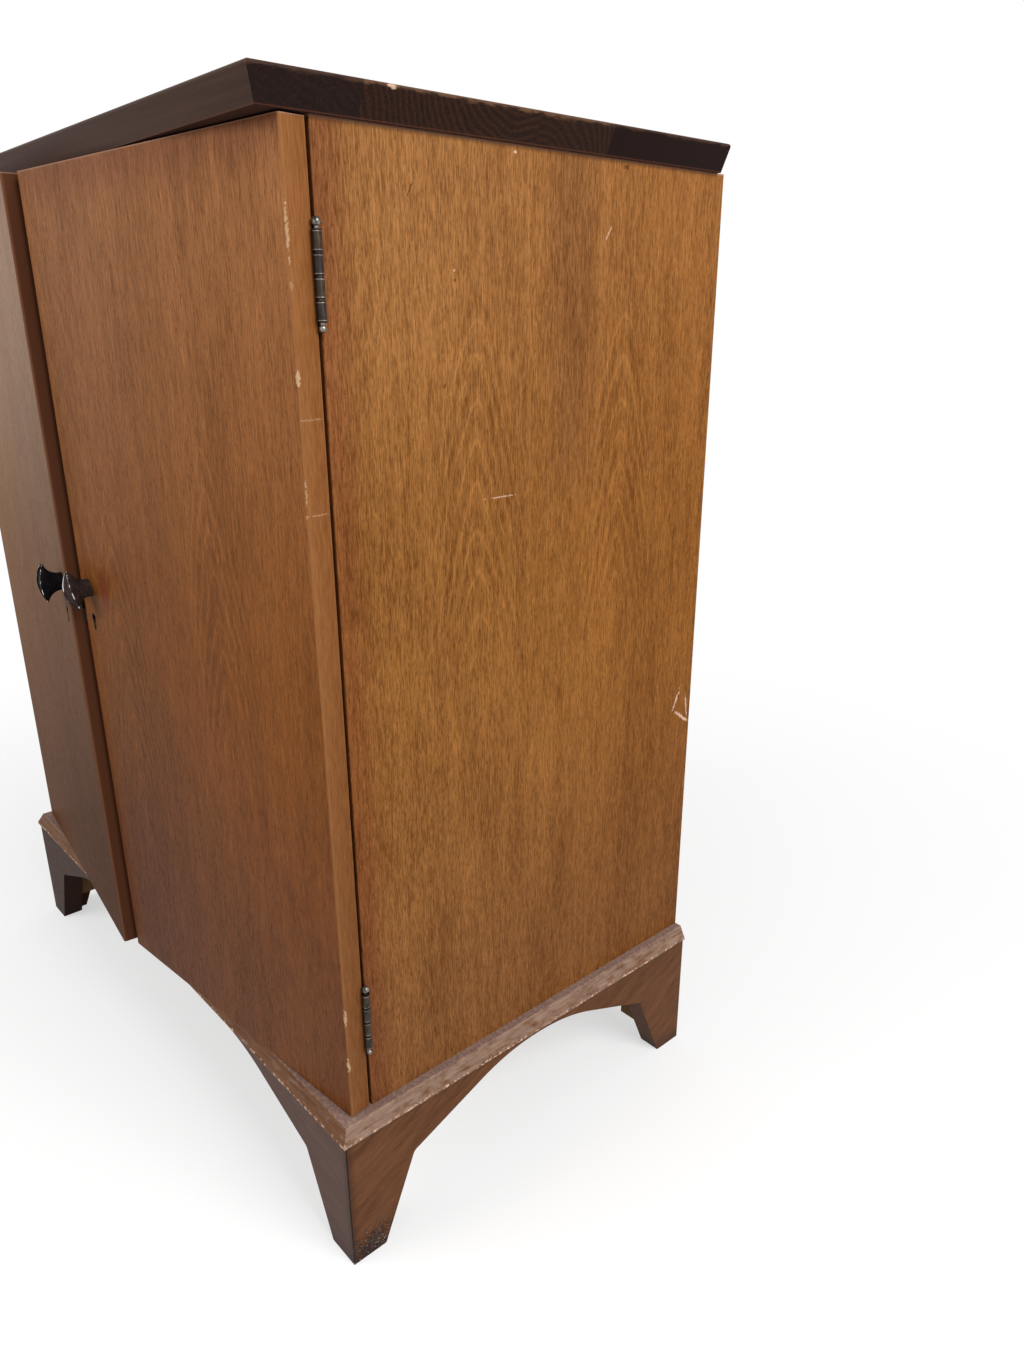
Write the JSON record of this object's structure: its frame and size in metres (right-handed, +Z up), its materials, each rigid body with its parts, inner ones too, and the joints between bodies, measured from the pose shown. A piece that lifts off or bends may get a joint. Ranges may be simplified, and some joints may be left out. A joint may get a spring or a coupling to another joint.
{
  "type": "cellarette",
  "caption": "Liquor cabinet with an overhanging plank top, doors on ball-tipped hinges, fan-shaped knobs, a bevelled moulding and a bracket base with low arches.",
  "frame": {"origin": "on the floor, under the middle of the whole object as it stands with both doors a little open", "axes": "+Z up, +X to the right along the front, +Y from the doors to the back"},
  "size_m": [0.763, 0.4905, 0.914],
  "materials": {
    "top_walnut": "dark satin lacquer, worn at the edges",
    "case_veneer": "satin lacquer on walnut veneer",
    "door_veneer": "satin lacquer on walnut veneer",
    "edge_strip": "satin lacquer on solid edge strip",
    "moulding": "worn satin lacquer",
    "base_wood": "worn satin lacquer",
    "inner_wood": "unpolished",
    "back_board": "unpolished plywood",
    "dark_bronze": "dark antique bronze, bright at the rim",
    "hinge_brass": "dark antique brass",
    "pin_steel": "polished by wear",
    "lock_brass": "dulled brass",
    "bolt_brass": "dulled brass"
  },
  "bodies": {
    "cabinet": {"front_top_board": "top_walnut", "mid_front_top_board": "top_walnut", "mid_back_top_board": "top_walnut", "back_top_board": "top_walnut", "left_side_panel": "case_veneer", "right_side_panel": "case_veneer", "left_side_lipping": "edge_strip", "right_side_lipping": "edge_strip", "front_moulding": "moulding", "left_moulding": "moulding", "right_moulding": "moulding", "front_apron": "base_wood", "left_apron": "base_wood", "right_apron": "base_wood", "case_bottom": "inner_wood", "front_top_rail": "inner_wood", "back_top_rail": "inner_wood", "shelf": "inner_wood", "shelf_cleats": "inner_wood", "divider_long_boards": "inner_wood", "divider_cross_boards": "inner_wood", "base_back_rail": "inner_wood", "back_apron": "inner_wood", "corner_blocks": "inner_wood", "back_panel": "back_board", "left_hinge_case_leaves": "hinge_brass", "right_hinge_case_leaves": "hinge_brass", "left_hinge_pins": "pin_steel", "right_hinge_pins": "pin_steel"},
    "right_door": {"right_door_panel": "door_veneer", "right_door_hinge_stile": "edge_strip", "right_door_lock_stile": "door_veneer", "right_door_knob": "dark_bronze", "right_hinge_door_leaves": "hinge_brass", "lock_case": "lock_brass"},
    "left_door": {"left_door_panel": "door_veneer", "left_door_hinge_stile": "edge_strip", "left_door_meeting_stile": "door_veneer", "left_door_knob": "dark_bronze", "left_hinge_door_leaves": "hinge_brass", "strike_plate": "lock_brass", "bolt_pads": "inner_wood", "bolt_guides": "bolt_brass"},
    "lock_bolt": {"lock_bolt": "lock_brass"},
    "upper_bolt": {"upper_bolt": "bolt_brass"},
    "lower_bolt": {"lower_bolt": "bolt_brass"}
  },
  "joints": [
    {"name": "right_door_hinge", "type": "hinge", "parent": "cabinet", "child": "right_door", "pos_m": [0.3701, -0.1612, 0.5201], "axis": [0, 0, 1], "range_deg": [-5.35, 184.65]},
    {"name": "left_door_hinge", "type": "hinge", "parent": "cabinet", "child": "left_door", "pos_m": [-0.3701, -0.1612, 0.5201], "axis": [0, 0, -1], "range_deg": [-6.9, 183.1]},
    {"name": "lock_bolt_slide", "type": "slide", "parent": "right_door", "child": "lock_bolt", "axis": [-0.9956, -0.0932, 0], "range_m": [0, 0.006]},
    {"name": "upper_bolt_slide", "type": "slide", "parent": "left_door", "child": "upper_bolt", "axis": [0, 0, 1], "range_m": [0, 0.009]},
    {"name": "lower_bolt_slide", "type": "slide", "parent": "left_door", "child": "lower_bolt", "axis": [0, 0, -1], "range_m": [0, 0.009]}
  ]
}
